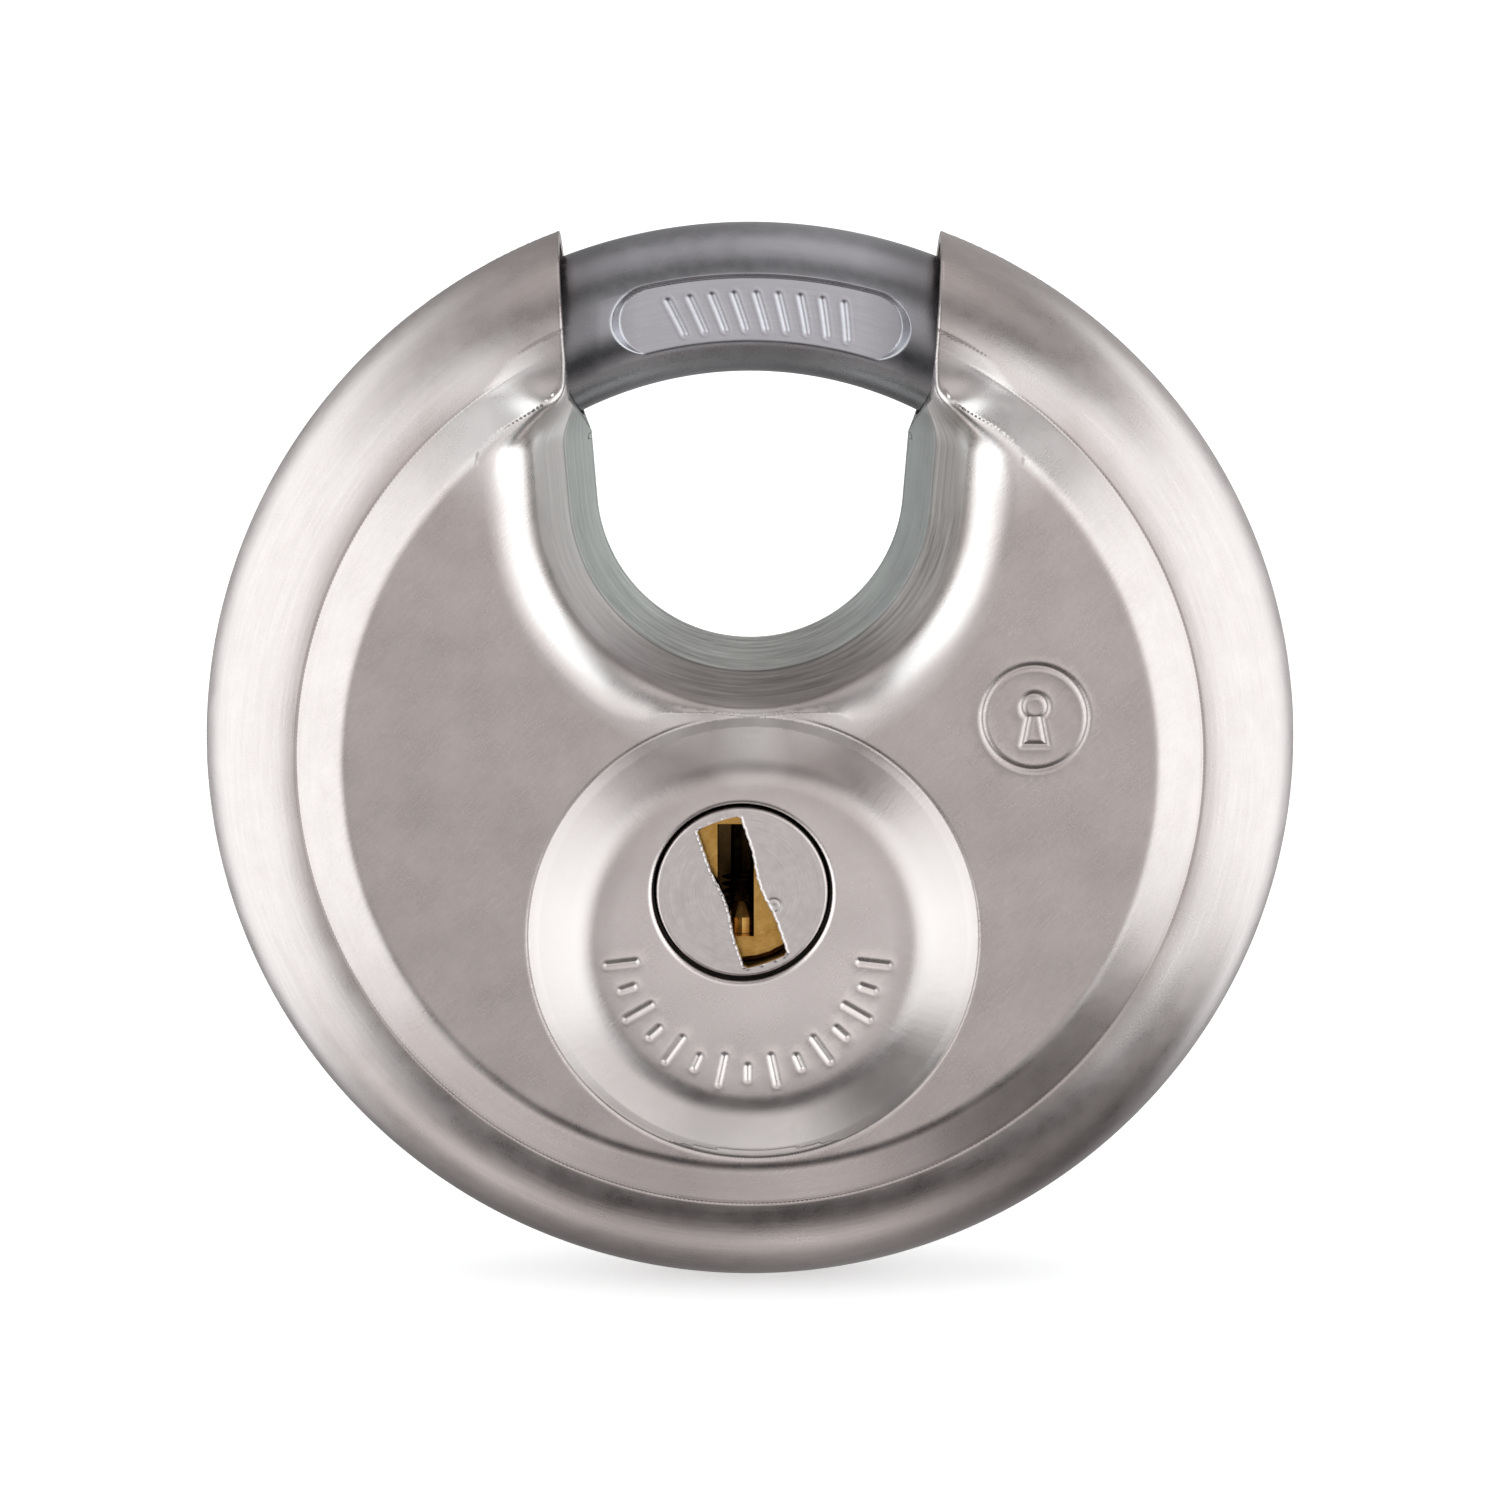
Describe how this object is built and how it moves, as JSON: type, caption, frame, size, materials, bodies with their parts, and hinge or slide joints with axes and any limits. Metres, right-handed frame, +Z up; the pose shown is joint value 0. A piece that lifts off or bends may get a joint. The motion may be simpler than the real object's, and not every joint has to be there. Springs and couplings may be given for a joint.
{
  "type": "disc padlock",
  "caption": "Round stainless disc padlock with a swinging curved shackle across a short throat, turned by a pin cylinder and crank behind a free-spinning guard disc.",
  "frame": {"origin": "on the flat back, where the axis of the disc meets it, which is also the axis that the shackle swings about", "axes": "+Z up towards the shackle with the lock upright, front face with the keyhole towards -Y, +X to the right seen from the front"},
  "size_m": [0.07, 0.024, 0.0684],
  "materials": {
    "stainless_shell": "satin brushed stainless steel",
    "guard_steel": "turned stainless steel",
    "shackle_steel": "satin plated hardened steel",
    "plate_steel": "dark hardened steel",
    "cast_zinc": "as-cast zinc alloy",
    "brass": "machined brass",
    "spring_steel": "bright spring steel"
  },
  "bodies": {
    "case": {"front_shell": "stainless_shell", "rear_shell": "stainless_shell", "front_guide_ring": "cast_zinc", "rear_guide_ring": "cast_zinc", "lock_core": "cast_zinc", "rear_plate": "plate_steel", "core_screw_1": "plate_steel", "core_screw_2": "plate_steel", "cylinder_housing": "brass", "chamber_cover": "brass", "anti_drill_plate": "plate_steel", "crank_stop_1": "plate_steel", "crank_stop_2": "plate_steel", "pin_spring_1": "spring_steel", "pin_spring_2": "spring_steel", "pin_spring_3": "spring_steel", "pin_spring_4": "spring_steel", "pin_spring_5": "spring_steel"},
    "shackle": {"shackle": "shackle_steel", "drive_tab": "plate_steel", "tab_rivet_1": "plate_steel", "tab_rivet_2": "plate_steel"},
    "plug": {"plug": "brass", "plug_circlip": "spring_steel", "crank_lever": "plate_steel", "crank_clip": "spring_steel", "drive_pin": "plate_steel"},
    "guard_disc": {"guard_disc": "guard_steel"},
    "key_pin_1": {"key_pin_1": "brass"},
    "key_pin_2": {"key_pin_2": "brass"},
    "key_pin_3": {"key_pin_3": "brass"},
    "key_pin_4": {"key_pin_4": "brass"},
    "key_pin_5": {"key_pin_5": "brass"},
    "driver_pin_1": {"driver_pin_1": "spring_steel"},
    "driver_pin_2": {"driver_pin_2": "spring_steel"},
    "driver_pin_3": {"driver_pin_3": "spring_steel"},
    "driver_pin_4": {"driver_pin_4": "spring_steel"},
    "driver_pin_5": {"driver_pin_5": "spring_steel"}
  },
  "joints": [
    {"name": "key_turn", "type": "hinge", "parent": "case", "child": "plug", "pos_m": [-0.0005, 0, -0.0076], "axis": [0, 1, 0], "range_deg": [0, 120]},
    {"name": "shackle_swing", "type": "hinge", "parent": "case", "child": "shackle", "pos_m": [0, 0, 0], "axis": [0, 1, 0], "range_deg": [0, 78.28]},
    {"name": "guard_disc_spin", "type": "hinge", "parent": "case", "child": "guard_disc", "pos_m": [-0.0005, 0, -0.0076], "axis": [0, 1, 0], "continuous": true},
    {"name": "key_pin_lift_1", "type": "slide", "parent": "plug", "child": "key_pin_1", "axis": [0, 0, 1], "range_m": [0, 0.0012]},
    {"name": "key_pin_lift_2", "type": "slide", "parent": "plug", "child": "key_pin_2", "axis": [0, 0, 1], "range_m": [0, 0.0009]},
    {"name": "key_pin_lift_3", "type": "slide", "parent": "plug", "child": "key_pin_3", "axis": [0, 0, 1], "range_m": [0, 0.0015]},
    {"name": "key_pin_lift_4", "type": "slide", "parent": "plug", "child": "key_pin_4", "axis": [0, 0, 1], "range_m": [0, 0.0012]},
    {"name": "key_pin_lift_5", "type": "slide", "parent": "plug", "child": "key_pin_5", "axis": [0, 0, 1], "range_m": [0, 0.001]},
    {"name": "driver_pin_drop_1", "type": "slide", "parent": "case", "child": "driver_pin_1", "axis": [0, 0, -1], "range_m": [0, 0.0012], "deforming": ["pin_spring_1"]},
    {"name": "driver_pin_drop_2", "type": "slide", "parent": "case", "child": "driver_pin_2", "axis": [0, 0, -1], "range_m": [0, 0.0015], "deforming": ["pin_spring_2"]},
    {"name": "driver_pin_drop_3", "type": "slide", "parent": "case", "child": "driver_pin_3", "axis": [0, 0, -1], "range_m": [0, 0.0009], "deforming": ["pin_spring_3"]},
    {"name": "driver_pin_drop_4", "type": "slide", "parent": "case", "child": "driver_pin_4", "axis": [0, 0, -1], "range_m": [0, 0.0012], "deforming": ["pin_spring_4"]},
    {"name": "driver_pin_drop_5", "type": "slide", "parent": "case", "child": "driver_pin_5", "axis": [0, 0, -1], "range_m": [0, 0.0013], "deforming": ["pin_spring_5"]}
  ],
  "couplings": [
    {"joint": "shackle_swing", "follows": "key_turn", "ratio": 0.65231},
    {"joint": "key_pin_lift_2", "follows": "key_pin_lift_1", "ratio": 0.75},
    {"joint": "driver_pin_drop_2", "follows": "driver_pin_drop_1", "ratio": 1.25},
    {"joint": "key_pin_lift_3", "follows": "key_pin_lift_1", "ratio": 1.25},
    {"joint": "driver_pin_drop_3", "follows": "driver_pin_drop_1", "ratio": 0.75},
    {"joint": "key_pin_lift_4", "follows": "key_pin_lift_1", "ratio": 1},
    {"joint": "driver_pin_drop_4", "follows": "driver_pin_drop_1", "ratio": 1},
    {"joint": "key_pin_lift_5", "follows": "key_pin_lift_1", "ratio": 0.83333},
    {"joint": "driver_pin_drop_5", "follows": "driver_pin_drop_1", "ratio": 1.0833}
  ]
}
